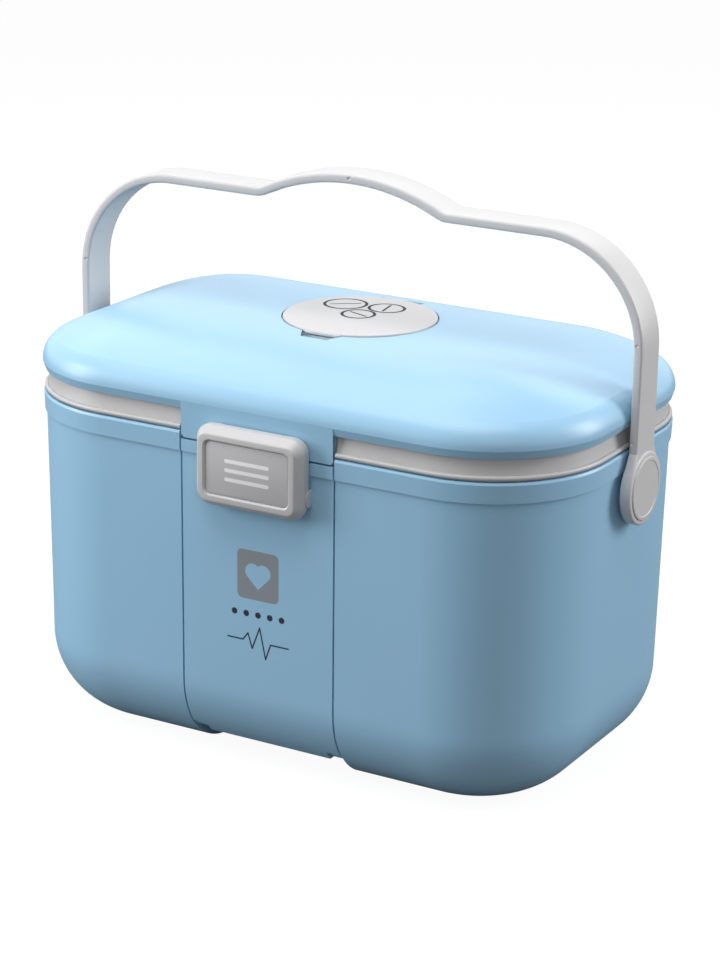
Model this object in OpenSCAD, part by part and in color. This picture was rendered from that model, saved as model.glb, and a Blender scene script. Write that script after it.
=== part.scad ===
// Household medicine box: drafted shell with a drop-down front door, a rim frame,
// a domed lid with a round pill well, a rocker latch and a bail handle.
// Millimetres. +Z is up, the front faces -Y, and the origin is the middle of the foot.

/* [Box] */
// Width of the box over its collar
box_w = 322; // [300:1:360]
// Depth of the box over its collar
box_d = 200; // [190:1:230]
// Height of the shell's top edge above the table
shell_h = 181; // [172:1:210]
// Corner radius of the plan outline
corner_r = 66; // [60:1:72]
// Radius that rolls the walls into the floor
foot_r = 46; // [40:1:52]
// Wall thickness of the shell and the door
wall = 2.4; // [2:0.1:2.6]
// Draft of the shell's walls, in degrees
draft = 0.85; // [0.4:0.05:1.1]
// Height of the collar band round the shell's top
collar_h = 10.5; // [8:0.5:13]
// How far the collar's lower edge is drawn in
collar_in = 0.5; // [0.3:0.1:1.2]
// Step from the collar's lower edge to the wall
collar_step = 1; // [0.3:0.1:1.2]

/* [Front door] */
// Width of the front door
door_w = 88.6; // [76:0.2:100]
// Gap round the door
door_gap = 1; // [0.7:0.1:1.6]
// Height of the door's lower edge above the table
door_foot = 13.7; // [12:0.1:16]
// Radius of the door's hinge knuckles
door_knuckle_r = 4; // [3.4:0.1:4.2]
// Radius of the door's hinge pins
door_pin_r = 1.5; // [1.2:0.1:2]

/* [Rim frame] */
// Height of the grey band that shows between the shell and the lid
band_h = 12; // [10:0.5:16]
// Radius of the bead along the band's foot
bead_r = 1.3; // [1:0.1:1.6]
// Height of the gap between the bead and the shell's top edge
bead_gap = 0.7; // [0.4:0.1:1]
// Thickness of the rim's upright wall
rim_wall = 2.2; // [1.8:0.1:2.6]
// How far the rim's wall stands up inside the lid
rim_lip = 10; // [6:0.5:12]
// Width of the ledge that carries the tray
ledge_w = 5.6; // [5:0.2:7]

/* [Lid] */
// Rise of the lid from its skirt to the crown
lid_rise = 31; // [28:0.5:38]
// Wall thickness of the lid
lid_wall = 2.3; // [2:0.1:2.5]
// Radius of the lid's shoulder
shoulder_r = 14; // [11:0.5:17]
// Length of the front tab below the skirt
tab_drop = 14.2; // [12:0.2:15]
// Radius of the lid's hinge knuckles
lid_knuckle_r = 3.5; // [3:0.1:3.8]
// Radius of the lid's hinge pins
lid_pin_r = 1.4; // [1.2:0.1:1.8]
// Distance of each lid hinge from the middle
lid_hinge_x = 60; // [50:1:70]

/* [Pill well] */
// Radius of the round cover
cover_r = 40.6; // [38:0.2:41]
// Thickness of the round cover
cover_t = 2.3; // [2:0.1:2.6]
// Distance of the cover's centre behind the middle of the lid
cover_back = 4; // [2:0.5:5]
// Inner radius of the pill cup
cup_r = 34; // [28:0.2:36]
// Depth of the pill cup
cup_depth = 20; // [14:0.5:22]
// Wall thickness of the cup
cup_wall = 1.6; // [1.2:0.1:2]

/* [Latch] */
// Width of the latch
latch_w = 63; // [58:0.5:68]
// Height of the latch
latch_h = 42.2; // [41:0.1:46]
// Depth of the latch from back to front
latch_t = 9.2; // [8.6:0.1:10]
// Width of the grip plate
plate_w = 48.4; // [42:0.2:50]
// Height of the grip plate
plate_h = 27.3; // [22:0.1:29]
// Radius of the latch pins
latch_pin_r = 1; // [0.8:0.1:1.2]

/* [Handle] */
// Thickness of the handle's band
band_t = 4.8; // [4:0.1:5]
// Width of the handle's band
band_w = 18; // [14:0.5:22]
// Height of the handle's flats above the pivot
handle_reach = 128.7; // [126:0.1:140]
// Half of the angle that the grip's arc spans
hump_half_angle = 25; // [18:0.5:27]
// Radius of the handle's corners
handle_corner_r = 50; // [40:1:56]
// Drop from the shell's top edge to the handle's pivot
pivot_drop = 20.4; // [19.6:0.1:24]
// Radius of the handle's eyes
eye_r = 18; // [17:0.5:19]
// Radius of the caps that cover the pivots
cap_r = 15.4; // [14:0.1:15.6]

/* [Tray] */
// Depth of the lift-out tray
tray_depth = 58; // [40:1:70]
// Wall thickness of the tray
tray_wall = 1.8; // [1.4:0.1:2.2]
// Number of removable dividers
divider_count = 3; // [2:1:4]

/* [Hidden] */
$fn = 64;

shell_blue = "#9fc7e0";
grip_grey = "#c9c9cc";
plate_grey = "#96979c";
tray_white = "#e8edf0";
steel = "#b9bcc0";

// Gaps that the whole model shares
run_gap = 0.05;
seat_gap = 0.3;
over = 1;

// Shell outline: offsets from the collar's plan outline, positive outwards
wall_top_x = -(collar_in + collar_step);
wall_top_z = shell_h - collar_h;
function wall_x(z) = wall_top_x - (wall_top_z - z) * tan(draft);
foot_cx = wall_x(foot_r) - foot_r;
front_y = -box_d / 2;

// Rim: the upright wall's outer face, and the heights above it
rim_x = wall_x(wall_top_z) - wall - seat_gap;
band_top = shell_h + band_h;
rim_top = band_top + rim_lip;
ledge_top = shell_h - 6.8;
ledge_t = 2.2;

// Lid: skirt, shoulder arc and crown arc
skirt_x = -1;
shoulder_x = 0.3;
skirt_h = 4;
shoulder_z = band_top + skirt_h;
crown_z = band_top + lid_rise;
crown_reach = corner_r + shoulder_x - shoulder_r;
crown_rise = crown_z - shoulder_z;
crown_r = (crown_reach ^ 2 + crown_rise ^ 2 - shoulder_r ^ 2) / (2 * (crown_rise - shoulder_r));
shoulder_turn = atan2(crown_r - crown_rise, crown_reach);
tab_bottom = band_top - tab_drop;
tab_t = 2.4;
tab_y = front_y - skirt_x;

// Lid hinge
lid_axis_y = box_d / 2 + 1;
lid_axis_z = band_top + 2;
lid_knuckle_w = 16;
rim_knuckle_w = 9;
knuckle_gap = 0.4;

// Front door
door_top = tab_bottom - 2 * door_gap;
opening_w = door_w + 2 * door_gap;
jamb_t = 2.2;
jamb_depth = 9.5;
jamb_top = shell_h - 10.6;
door_hinge_turn = 41;
door_axis_r = foot_r - door_knuckle_r - 0.6;
door_axis_y = front_y - foot_cx - door_axis_r * cos(door_hinge_turn);
door_axis_z = foot_r - door_axis_r * sin(door_hinge_turn);
lug_w = 7.5;
lug_r = door_knuckle_r - 0.4;
notch_w = lug_w + 0.6;
sill_y = door_axis_y + door_knuckle_r + 2.4;
sill_top = door_axis_z + 5;

// Latch
latch_back = tab_y - 1.3;
latch_front = latch_back - latch_t;
latch_bottom = band_top - 3.7 - latch_h;
latch_cz = latch_bottom + latch_h / 2;
latch_side = 2.5;
latch_corner_r = 8;
latch_bevel = 3.6;
latch_straight = 4.4;
latch_axis_y = latch_back - 3.6;
latch_axis_z = latch_bottom + 18;
latch_turn = 12;
latch_lug_r = 2.2;
latch_lug_t = 3.6;
latch_lug_x = latch_w / 2 - latch_side - seat_gap - latch_lug_t;
plate_t = 1;
plate_recess = 1.3;
ridge_w = 36;
ridge_out = 1.2;
ridge_z = latch_bottom + latch_h - 6.5;

// Round cover and pill well
cover_top = crown_z + 1;
cover_under = cover_top - cover_t;
flange_t = 1.2;
flange_top = cover_under - seat_gap;
seat_z = flange_top - flange_t;
recess_gap = 0.8;
recess_r = cover_r + recess_gap;
cover_axis_y = cover_back + cover_r + 1.9;
cover_axis_z = cover_under - 1;
cover_knuckle_r = 1.6;
cover_knuckle_w = 16;
cover_pin_r = 0.7;
cover_lug_t = 2.6;
tongue_w = 22;
tongue_out = 0.5;
cup_y = cover_back;
cup_floor = flange_top - cup_depth;
trough_wall = 1.2;
trough_w = cover_knuckle_w + 2 * cover_lug_t + 2;
trough_reach = cover_knuckle_r + 0.6;
trough_floor = cover_axis_z - cover_knuckle_r - 0.5;
slot_w = trough_w + 2 * trough_wall + 2 * seat_gap;
slot_back = cover_axis_y + trough_reach + trough_wall + seat_gap;
notch_front_w = 15;
notch_back_w = 25;
notch_len = 8;
notch_depth = 2.6;

// Handle
pivot_z = shell_h - pivot_drop;
eye_t = 6;
arm_gap = 1.6;
arm_inner = box_w / 2 + arm_gap;
arm_mid = arm_inner + band_t / 2;
eye_inner = arm_inner - 0.6;
eye_floor_t = 2.5;
post_r = 5;
flat_z = pivot_z + handle_reach - band_t / 2;
corner_mid_r = handle_corner_r - band_t / 2;
hump_r = 107.6;
valley_r = 28.4;
flat_start = (hump_r + valley_r) * sin(hump_half_angle);
hump_rise = (hump_r + valley_r) * (1 - cos(hump_half_angle));
washer_t = 1;
washer_r = 8;
screw_head_r = 4;
screw_head_t = 1.5;
screw_r = 1.6;
cap_skirt = 2;
wall_at_pivot = box_w / 2 + wall_x(pivot_z);
boss_r = 9;

// Tray
tray_x = rim_x - rim_wall - 0.6;
tray_body_x = rim_x - rim_wall - ledge_w - 0.8;
tray_lip_z = ledge_top;
tray_lip_t = 2;
tray_floor = tray_lip_z + tray_lip_t - tray_depth;
tray_r = 6;
mid_wall_y = 16;
divider_t = 1.6;
divider_slot = 0.3;
divider_rail = 2;

// Sweeps a 2D profile (x outwards from the outline, y up) round a rounded rectangle
module swept(w, d, r) {
    for (c = [[1, 1, 0], [-1, 1, 90], [-1, -1, 180], [1, -1, 270]])
        translate([c[0] * (w / 2 - r), c[1] * (d / 2 - r), 0])
            rotate([0, 0, c[2]])
                rotate_extrude(angle = 90)
                    translate([r, 0])
                        children();
    for (a = [0, 180])
        rotate([0, 0, a])
            translate([w / 2, d / 2 - r, 0])
                rotate([90, 0, 0])
                    linear_extrude(d - 2 * r)
                        children();
    for (a = [90, 270])
        rotate([0, 0, a])
            translate([d / 2, w / 2 - r, 0])
                rotate([90, 0, 0])
                    linear_extrude(w - 2 * r)
                        children();
}

// Extrudes a 2D profile (x to -Y or +Y world, y up) along X, centred
module along_x(len) {
    translate([-len / 2, 0, 0])
        rotate([90, 0, 90])
            linear_extrude(len)
                children();
}

// Extrudes a section of the outline (x outwards) along the front, centred
module along_front(len) {
    rotate([0, 0, 270])
        translate([box_d / 2, len / 2, 0])
            rotate([90, 0, 0])
                linear_extrude(len)
                    children();
}

module x_cylinder(r, x0, x1) {
    translate([x0, 0, 0])
        rotate([0, 90, 0])
            cylinder(r = r, h = x1 - x0);
}

// Everything inside the shell's outer face, moved in by t
module shell_fill(t, top) {
    difference() {
        polygon([
            [-corner_r, t], [wall_x(foot_r) - t, t], [wall_x(foot_r) - t, foot_r],
            [wall_x(top) - t, top], [-corner_r, top]
        ]);
        difference() {
            translate([foot_cx, 0])
                square(foot_r);
            translate([foot_cx, foot_r])
                circle(foot_r - t);
        }
    }
}

// Wall section of the shell: drafted wall, rolled foot, floor strip and collar band
module shell_section() {
    difference() {
        union() {
            shell_fill(0, shell_h);
            polygon([
                [wall_x(wall_top_z) - wall / 2, wall_top_z], [-collar_in, wall_top_z],
                [-collar_in / 3, shell_h - 1.2], [-collar_in / 3 - 0.5, shell_h],
                [wall_x(shell_h) - wall / 2, shell_h]
            ]);
        }
        shell_fill(wall, shell_h + over);
    }
}

module doorway() {
    translate([-opening_w / 2, front_y - over, -over])
        cube([opening_w, -foot_cx + 12, shell_h + 2 * over]);
}

// Ramp and upstand that close the shell behind the door's foot
module sill() {
    along_x(opening_w + jamb_t)
        polygon([
            [front_y - foot_cx + 10, 0], [front_y - foot_cx + 15, 0],
            [front_y - foot_cx + 15, wall / 2], [sill_y + wall, sill_top - 6],
            [sill_y + wall, sill_top], [sill_y, sill_top], [sill_y, sill_top - 7.5]
        ]);
}

// Return walls that line both sides of the doorway, and the door's hinge lugs
module jambs() {
    intersection() {
        swept(box_w, box_d, corner_r)
            difference() {
                shell_fill(0.4, shell_h);
                shell_fill(jamb_depth, shell_h + over);
            }
        for (s = [-1, 1])
            translate([s * (opening_w + jamb_t) / 2 - jamb_t / 2, front_y, 0])
                cube([jamb_t, -foot_cx + 12.5, jamb_top]);
    }
    for (s = [-1, 1])
        translate([0, door_axis_y, door_axis_z])
            difference() {
                x_cylinder(lug_r, s > 0 ? opening_w / 2 - lug_w : -opening_w / 2 - jamb_t / 2,
                    s > 0 ? opening_w / 2 + jamb_t / 2 : -opening_w / 2 + lug_w);
            }
}

module pivot_boss() {
    translate([0, 0, pivot_z]) {
        x_cylinder(boss_r, wall_at_pivot - wall - 5, eye_inner - 0.4);
        x_cylinder(post_r, eye_inner - 1.4, eye_inner + eye_floor_t + 0.2);
    }
}

module outer_shell() {
    color(shell_blue)
        difference() {
            union() {
                difference() {
                    union() {
                        swept(box_w, box_d, corner_r)
                            shell_section();
                        translate([-box_w / 2 + corner_r, -box_d / 2 + corner_r, 0])
                            cube([box_w - 2 * corner_r, box_d - 2 * corner_r, wall]);
                    }
                    doorway();
                }
                jambs();
                sill();
                for (a = [0, 180])
                    rotate([0, 0, a])
                        pivot_boss();
            }
            translate([0, door_axis_y, door_axis_z])
                x_cylinder(door_pin_r, -opening_w / 2 - jamb_t - over, opening_w / 2 + jamb_t + over);
            for (a = [0, 180])
                rotate([0, 0, a])
                    translate([0, 0, pivot_z])
                        x_cylinder(screw_r, wall_at_pivot - wall - 3, eye_inner + eye_floor_t + over);
        }
}

// Rim section: upright wall, flared band, bead and the ledge for the tray
module rim_section() {
    foot = shell_h - 10;
    translate([rim_x - rim_wall, foot])
        square([rim_wall, rim_top - foot]);
    polygon([
        [rim_x - rim_wall / 2, shell_h], [-bead_r - 1.9, shell_h],
        [-bead_r - 1.2, shell_h + 2 * bead_r + bead_gap], [rim_x + seat_gap, band_top - 0.4],
        [rim_x - rim_wall / 2, band_top - 0.4]
    ]);
    translate([-bead_r - 0.6, shell_h + bead_r + bead_gap])
        circle(bead_r);
    translate([rim_x - rim_wall - ledge_w, ledge_top - ledge_t])
        square([ledge_w + rim_wall / 2, ledge_t]);
}

module rim_knuckles(s) {
    for (k = [-1, 1]) {
        x0 = s * lid_hinge_x + k * (lid_knuckle_w / 2 + knuckle_gap + rim_knuckle_w / 2) - rim_knuckle_w / 2;
        translate([0, lid_axis_y, lid_axis_z])
            x_cylinder(lid_knuckle_r, x0, x0 + rim_knuckle_w);
        translate([x0, -front_y + rim_x - rim_wall / 2, shell_h + 3])
            cube([rim_knuckle_w, lid_axis_y + front_y - rim_x + rim_wall / 2, band_h - 3]);
    }
}

module rim_frame() {
    color(grip_grey)
        difference() {
            union() {
                swept(box_w, box_d, corner_r)
                    rim_section();
                for (s = [-1, 1])
                    rim_knuckles(s);
            }
            translate([-opening_w / 2, front_y - over, shell_h - 10 - over])
                cube([opening_w, over - rim_x, band_top - shell_h + 10 + 2 * over]);
            for (s = [-1, 1])
                translate([s * lid_hinge_x, lid_axis_y, lid_axis_z])
                    x_cylinder(lid_pin_r, -lid_knuckle_w - rim_knuckle_w, lid_knuckle_w + rim_knuckle_w);
        }
}

// The shell's own section between the door's foot and its top edge
module door_section() {
    intersection() {
        shell_section();
        translate([foot_cx, door_foot])
            square([-foot_cx + over, door_top - door_foot]);
    }
}

// Stiffening flanges that stand in from the door's side edges
module door_flanges() {
    for (s = [-1, 1])
        translate([s * (door_w / 2 - 1.2), 0, 0])
            along_front(2.4)
                intersection() {
                    difference() {
                        shell_fill(wall / 2, shell_h);
                        shell_fill(7.4, shell_h + over);
                    }
                    translate([foot_cx, door_axis_z + 12])
                        square([-foot_cx, ledge_top - ledge_t - 4 - door_axis_z - 12]);
                }
}

module door_knuckle(s) {
    x1 = door_w / 2 - notch_w - 0.4;
    x0 = x1 - 9;
    translate([0, door_axis_y, door_axis_z])
        x_cylinder(door_knuckle_r, s > 0 ? x0 : -x1, s > 0 ? x1 : -x0);
    translate([s > 0 ? x0 : -x1, 0, 0])
        rotate([90, 0, 90])
            linear_extrude(9)
                polygon([
                    [door_axis_y, door_axis_z + door_knuckle_r],
                    [door_axis_y - door_knuckle_r / 2, door_axis_z],
                    [front_y - foot_cx - (foot_r - 1) * cos(25), foot_r - (foot_r - 1) * sin(25)]
                ]);
}

module latch_lug(s) {
    x0 = s > 0 ? latch_lug_x : -latch_lug_x - latch_lug_t;
    translate([0, latch_axis_y, latch_axis_z])
        x_cylinder(latch_lug_r, x0, x0 + latch_lug_t);
    translate([x0, latch_axis_y, latch_axis_z - latch_lug_r])
        cube([latch_lug_t, front_y - wall_x(latch_axis_z) + 1 - latch_axis_y, 2 * latch_lug_r]);
}

module front_door() {
    color(shell_blue)
        difference() {
            union() {
                along_front(door_w)
                    door_section();
                door_flanges();
                for (s = [-1, 1]) {
                    door_knuckle(s);
                    latch_lug(s);
                }
            }
            for (s = [-1, 1])
                translate([s * (door_w / 2 - notch_w / 2 + over / 2) - (notch_w + over) / 2, 0, 0])
                    translate([0, door_axis_y, door_axis_z]) {
                        x_cylinder(lug_r + 1.4, 0, notch_w + over);
                        translate([0, -12, -12])
                            cube([notch_w + over, 24, 12]);
                    }
            translate([0, door_axis_y, door_axis_z])
                x_cylinder(door_pin_r + run_gap, -door_w / 2, door_w / 2);
            translate([0, latch_axis_y, latch_axis_z])
                x_cylinder(latch_pin_r + run_gap, -door_w / 2, door_w / 2);
        }
}

module door_pin(s) {
    x1 = opening_w / 2 + jamb_t;
    x0 = door_w / 2 - notch_w - 9;
    color(steel)
        translate([0, door_axis_y, door_axis_z])
            x_cylinder(door_pin_r, s > 0 ? x0 : -x1, s > 0 ? x1 : -x0);
}

module rounded_plate(w, h, r, t) {
    linear_extrude(t) {
        square([w - 2 * r, h], center = true);
        square([w, h - 2 * r], center = true);
        for (x = [-1, 1], y = [-1, 1])
            translate([x * (w / 2 - r), y * (h / 2 - r)])
                circle(r, $fn = 32);
    }
}

// Places a plate that faces the front with its back face at y
module facing_front(y) {
    translate([0, y, latch_cz])
        rotate([90, 0, 0])
            children();
}

module latch_body() {
    inner_w = latch_w - 2 * latch_side;
    inner_h = latch_h - 2 * latch_side;
    color(grip_grey)
        difference() {
            union() {
                facing_front(latch_back)
                    hull() {
                        rounded_plate(latch_w, latch_h, latch_corner_r, latch_straight);
                        rounded_plate(latch_w - 2 * latch_bevel, latch_h - 2 * latch_bevel,
                            latch_corner_r - latch_bevel / 2, latch_t);
                    }
                translate([0, latch_axis_y, latch_axis_z])
                    x_cylinder(3.4, -latch_w / 2 + 0.3, latch_w / 2 - 0.3);
            }
            facing_front(latch_back + over)
                rounded_plate(inner_w, inner_h, latch_corner_r - latch_side, latch_t - 3 + over);
            facing_front(latch_front + plate_recess)
                rounded_plate(plate_w, plate_h, 3, plate_recess + over);
            translate([-ridge_w / 2 - 1, latch_back - 0.8, ridge_z])
                cube([ridge_w + 2, 3, 12]);
            along_x(latch_w + 4)
                polygon([
                    [latch_back + over, latch_axis_z - 2], [latch_back - 0.01, latch_axis_z - 2],
                    [latch_back - 0.01 - (latch_axis_z - latch_bottom + 2) * tan(latch_turn) * 0.9,
                        latch_bottom - 2],
                    [latch_back + over, latch_bottom - 2]
                ]);
            translate([0, latch_axis_y, latch_axis_z])
                x_cylinder(latch_pin_r, -latch_w / 2 - over, latch_w / 2 + over);
        }
}

module latch_plate() {
    color(plate_grey)
        facing_front(latch_front + plate_recess) {
            rounded_plate(plate_w - 0.3, plate_h - 0.3, 2.8, plate_t);
            for (k = [-1, 0, 1])
                translate([0, k * 6, plate_t - 0.2])
                    rounded_plate(plate_w * 0.55, 2, 0.9, 0.5);
        }
}

module latch_pin(s) {
    x0 = latch_lug_x - 0.3;
    x1 = latch_w / 2 - 0.4;
    color(steel)
        translate([0, latch_axis_y, latch_axis_z])
            x_cylinder(latch_pin_r, s > 0 ? x0 : -x1, s > 0 ? x1 : -x0);
}

// Everything inside the lid's outer face, moved in by t
module lid_fill(t, foot) {
    c1 = [shoulder_x - shoulder_r, shoulder_z];
    r1 = shoulder_r - t;
    joint = c1 + r1 * [cos(shoulder_turn), sin(shoulder_turn)];
    polygon([
        [-corner_r, foot], [skirt_x - t, foot], [skirt_x - t, band_top],
        [shoulder_x - t, shoulder_z], joint, [-corner_r, crown_z - t]
    ]);
    intersection() {
        translate(c1)
            circle(r1);
        translate([joint[0], shoulder_z])
            square(shoulder_r + over);
    }
    intersection() {
        translate([-corner_r, crown_z - crown_r])
            circle(crown_r - t);
        translate([-corner_r, joint[1] - 3])
            square([joint[0] + corner_r, crown_z - joint[1] + 4]);
    }
}

module lid_section() {
    difference() {
        lid_fill(0, band_top);
        lid_fill(lid_wall, band_top - over);
    }
}

// Tab that hangs in front of the rim, with the ridge that the latch hooks over
module lid_tab() {
    cut = 1.5;
    translate([0, tab_y, 0])
        rotate([90, 0, 180])
            linear_extrude(tab_t)
                polygon([
                    [-door_w / 2, band_top + 2], [-door_w / 2, tab_bottom + cut],
                    [-door_w / 2 + cut, tab_bottom], [door_w / 2 - cut, tab_bottom],
                    [door_w / 2, tab_bottom + cut], [door_w / 2, band_top + 2]
                ]);
    along_x(ridge_w)
        polygon([
            [tab_y + 1, ridge_z], [tab_y - ridge_out, ridge_z + 1],
            [tab_y - ridge_out, ridge_z + 2.2], [tab_y + 1, ridge_z + 2.2]
        ]);
}

module finger_notch(grow, top) {
    front = cover_back - cover_r - notch_len - grow;
    floor_z = crown_z - notch_depth - (grow > 0 ? 1.4 : 0);
    translate([0, 0, floor_z])
        linear_extrude(top - floor_z)
            polygon([
                [-notch_front_w / 2 - grow, front], [notch_front_w / 2 + grow, front],
                [notch_back_w / 2 + grow, cover_back - cover_r + 2],
                [-notch_back_w / 2 - grow, cover_back - cover_r + 2]
            ]);
}

module lid_knuckle(s) {
    x0 = s * lid_hinge_x - lid_knuckle_w / 2;
    translate([0, lid_axis_y, lid_axis_z])
        x_cylinder(lid_knuckle_r, x0, x0 + lid_knuckle_w);
    translate([x0, lid_axis_y - 3, lid_axis_z])
        cube([lid_knuckle_w, 2.6, lid_knuckle_r]);
}

module lid_shell() {
    boss_r = recess_r + 3;
    color(shell_blue)
        difference() {
            union() {
                swept(box_w, box_d, corner_r)
                    lid_section();
                translate([-box_w / 2 + corner_r, -box_d / 2 + corner_r, crown_z - lid_wall])
                    cube([box_w - 2 * corner_r, box_d - 2 * corner_r, lid_wall]);
                lid_tab();
                for (s = [-1, 1])
                    lid_knuckle(s);
                translate([0, cover_back, seat_z - 1.6])
                    cylinder(r = boss_r, h = crown_z - lid_wall / 2 - 0.4 - seat_z + 1.6);
                finger_notch(1.6, crown_z - lid_wall / 2 - 0.8);
            }
            translate([0, cover_back, seat_z])
                cylinder(r = recess_r, h = cover_t + 4);
            translate([0, cover_back, seat_z - 4])
                cylinder(r = recess_r - 3, h = 8);
            translate([-slot_w / 2, cover_axis_y - 10, seat_z - 6])
                cube([slot_w, slot_back - cover_axis_y + 10, crown_z + over - seat_z + 6]);
            finger_notch(0, crown_z + over);
            for (s = [-1, 1], k = [-1, 1])
                translate([s * lid_hinge_x
                        + k * (lid_knuckle_w / 2 + knuckle_gap + rim_knuckle_w / 2)
                        - rim_knuckle_w / 2 - knuckle_gap,
                    -front_y - 8, band_top - over])
                    cube([rim_knuckle_w + 2 * knuckle_gap, 12, lid_axis_z + 4.6 - band_top + over]);
            for (s = [-1, 1])
                translate([s * lid_hinge_x, lid_axis_y, lid_axis_z])
                    x_cylinder(lid_pin_r + run_gap, -lid_knuckle_w, lid_knuckle_w);
        }
}

module lid_pin(s) {
    reach = lid_knuckle_w / 2 + knuckle_gap + rim_knuckle_w - 1;
    color(steel)
        translate([s * lid_hinge_x, lid_axis_y, lid_axis_z])
            x_cylinder(lid_pin_r, -reach, reach);
}

module pill_well() {
    color(grip_grey)
        difference() {
            union() {
                difference() {
                    union() {
                        translate([0, cover_back, seat_z])
                            cylinder(r = recess_r - 0.3, h = flange_t);
                        translate([0, cup_y, cup_floor - cup_wall])
                            cylinder(r = cup_r + cup_wall, h = flange_top - cup_floor + cup_wall);
                        translate([-trough_w / 2 - trough_wall, cover_axis_y - 8, seat_z + 0.1])
                            cube([trough_w + 2 * trough_wall, 8 + trough_reach, flange_t - 0.2]);
                        translate([-trough_w / 2 - trough_wall,
                            cover_axis_y - trough_reach - trough_wall, trough_floor - trough_wall])
                            cube([trough_w + 2 * trough_wall, 2 * (trough_reach + trough_wall),
                                flange_top - trough_floor + trough_wall - 0.1]);
                    }
                    translate([0, cup_y, cup_floor])
                        cylinder(r = cup_r, h = cup_depth + over);
                    translate([-trough_w / 2, cover_axis_y - trough_reach, trough_floor])
                        cube([trough_w, 2 * trough_reach, flange_top - trough_floor + over]);
                }
                for (s = [-1, 1])
                    cover_lug(s);
            }
            translate([0, cover_axis_y, cover_axis_z])
                x_cylinder(cover_pin_r, -trough_w / 2, trough_w / 2);
        }
}

module cover_lug(s) {
    x0 = s > 0 ? cover_knuckle_w / 2 + 0.4 : -cover_knuckle_w / 2 - 0.4 - cover_lug_t;
    translate([0, cover_axis_y, cover_axis_z])
        x_cylinder(cover_knuckle_r, x0, x0 + cover_lug_t);
    translate([x0, cover_axis_y - cover_knuckle_r + 0.2, trough_floor - 0.4])
        cube([cover_lug_t, 2 * cover_knuckle_r - 0.4, cover_axis_z - trough_floor + 0.4]);
}

module well_cover() {
    edge = 0.9;
    crown = 0.35;
    color(grip_grey)
        difference() {
            union() {
                translate([0, cover_back, cover_under])
                    rotate_extrude() {
                        square([cover_r, cover_t - edge - crown]);
                        square([cover_r - edge, cover_t - crown]);
                        translate([cover_r - edge, cover_t - edge - crown])
                            circle(edge);
                        polygon([
                            [0, cover_t - crown - 0.5], [cover_r - edge, cover_t - crown - 0.5],
                            [cover_r - edge, cover_t - crown], [cover_r * 0.5, cover_t - crown * 0.25],
                            [0, cover_t]
                        ]);
                    }
                translate([-tongue_w / 2, cover_back - cover_r - tongue_out, cover_under + 0.2])
                    cube([tongue_w, 8, cover_t - 0.8]);
                translate([0, cover_axis_y, cover_axis_z]) {
                    x_cylinder(cover_knuckle_r, -cover_knuckle_w / 2, cover_knuckle_w / 2);
                    along_x(cover_knuckle_w)
                        polygon([
                            [-6, 1.1], [-6, 2.1], [-1.9, 2.1], [-0.5, 1.35], [-0.5, 0.5], [-1.1, 1.1]
                        ]);
                }
            }
            translate([0, cover_axis_y, cover_axis_z])
                x_cylinder(cover_pin_r + run_gap, -cover_knuckle_w, cover_knuckle_w);
        }
}

module cover_pin() {
    reach = cover_knuckle_w / 2 + 0.4 + cover_lug_t;
    color(steel)
        translate([0, cover_axis_y, cover_axis_z])
            x_cylinder(cover_pin_r, -reach, reach);
}

// Cross-section of the handle's band, chamfered, thickness along x
module handle_section() {
    c = 0.9;
    t = band_t / 2;
    w = band_w / 2;
    polygon([
        [-t, -w + c], [-t + c, -w], [t - c, -w], [t, -w + c],
        [t, w - c], [t - c, w], [-t + c, w], [-t, w - c]
    ]);
}

// Right half of the bail in its own plane, x across and y up
module bail_half() {
    arm_top = flat_z - corner_mid_r;
    translate([arm_mid, pivot_z + eye_r / 2, 0])
        rotate([-90, 0, 0])
            linear_extrude(arm_top - pivot_z - eye_r / 2)
                handle_section();
    translate([arm_mid - corner_mid_r, arm_top, 0])
        rotate_extrude(angle = 90)
            translate([corner_mid_r, 0])
                handle_section();
    translate([flat_start, flat_z, 0])
        rotate([90, 0, 90])
            linear_extrude(arm_mid - corner_mid_r - flat_start)
                handle_section();
    for (arc = [[flat_start, flat_z + valley_r, valley_r, -90], [0, flat_z + hump_rise - hump_r, hump_r, 90]])
        translate([arc[0], arc[1], 0])
            rotate([0, 0, arc[3]])
                mirror([0, 1, 0])
                    rotate_extrude(angle = hump_half_angle)
                        translate([arc[2], 0])
                            handle_section();
}

module handle_eye() {
    lean = 30;
    root_r = eye_r - 0.25;
    rise = (root_r * cos(lean) - band_w / 2) / tan(lean);
    translate([0, 0, pivot_z])
        x_cylinder(eye_r, eye_inner, eye_inner + eye_t);
    translate([arm_inner, 0, pivot_z])
        rotate([90, 0, 90])
            linear_extrude(band_t)
                polygon([
                    [-root_r * cos(lean), root_r * sin(lean)], [root_r * cos(lean), root_r * sin(lean)],
                    [band_w / 2, root_r * sin(lean) + rise], [-band_w / 2, root_r * sin(lean) + rise]
                ]);
}

module handle() {
    color(grip_grey)
        difference() {
            union() {
                rotate([90, 0, 0]) {
                    bail_half();
                    mirror([1, 0, 0])
                        bail_half();
                }
                for (a = [0, 180])
                    rotate([0, 0, a])
                        handle_eye();
            }
            for (a = [0, 180])
                rotate([0, 0, a])
                    translate([0, 0, pivot_z]) {
                        x_cylinder(post_r + run_gap, eye_inner - over, eye_inner + eye_t);
                        x_cylinder(cap_r + 0.1, eye_inner + eye_floor_t, eye_inner + eye_t + over);
                    }
        }
}

module handle_cap() {
    face_x = eye_inner + eye_t + 0.8;
    color(grip_grey)
        translate([0, 0, pivot_z])
            difference() {
                union() {
                    x_cylinder(cap_r, eye_inner + eye_floor_t, face_x - 0.5);
                    x_cylinder(cap_r - 0.6, face_x - 0.6, face_x);
                }
                x_cylinder(cap_r - cap_skirt, eye_inner + eye_floor_t - over, face_x - 1.4);
            }
}

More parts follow.
